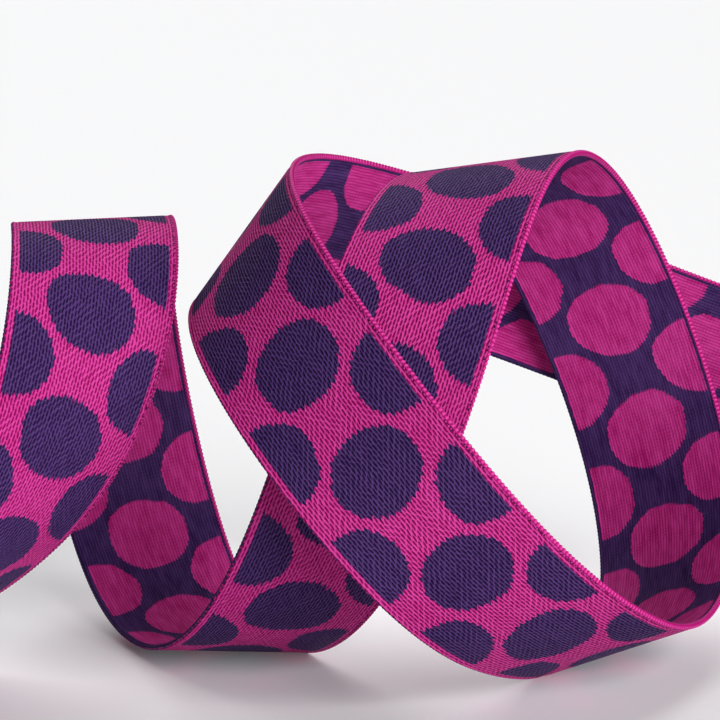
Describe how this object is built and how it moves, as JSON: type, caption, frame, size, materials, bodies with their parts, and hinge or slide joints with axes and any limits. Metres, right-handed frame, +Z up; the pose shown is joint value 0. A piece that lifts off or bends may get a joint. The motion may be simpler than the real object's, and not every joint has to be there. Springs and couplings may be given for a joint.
{
  "type": "curled length of woven dotted ribbon",
  "caption": "A loose, springy length of woven ribbon with staggered round spots, standing in leaning curls, its left end lying flat and its right end free.",
  "frame": {"origin": "centre of the bounding box, at the level of the table the curls stand on", "axes": "+X along the row of curls, from the flat left tail to the free right end; +Y away from the viewer of the broad front sweep; +Z up"},
  "size_m": [0.1872, 0.0744, 0.0688],
  "materials": {
    "ribbon_cloth": "firm double-faced jacquard weave, pink ground with purple spots outside and the colours reversed inside, with a low sheen"
  },
  "bodies": {
    "root": {"ribbon": "ribbon_cloth"}
  },
  "joints": []
}
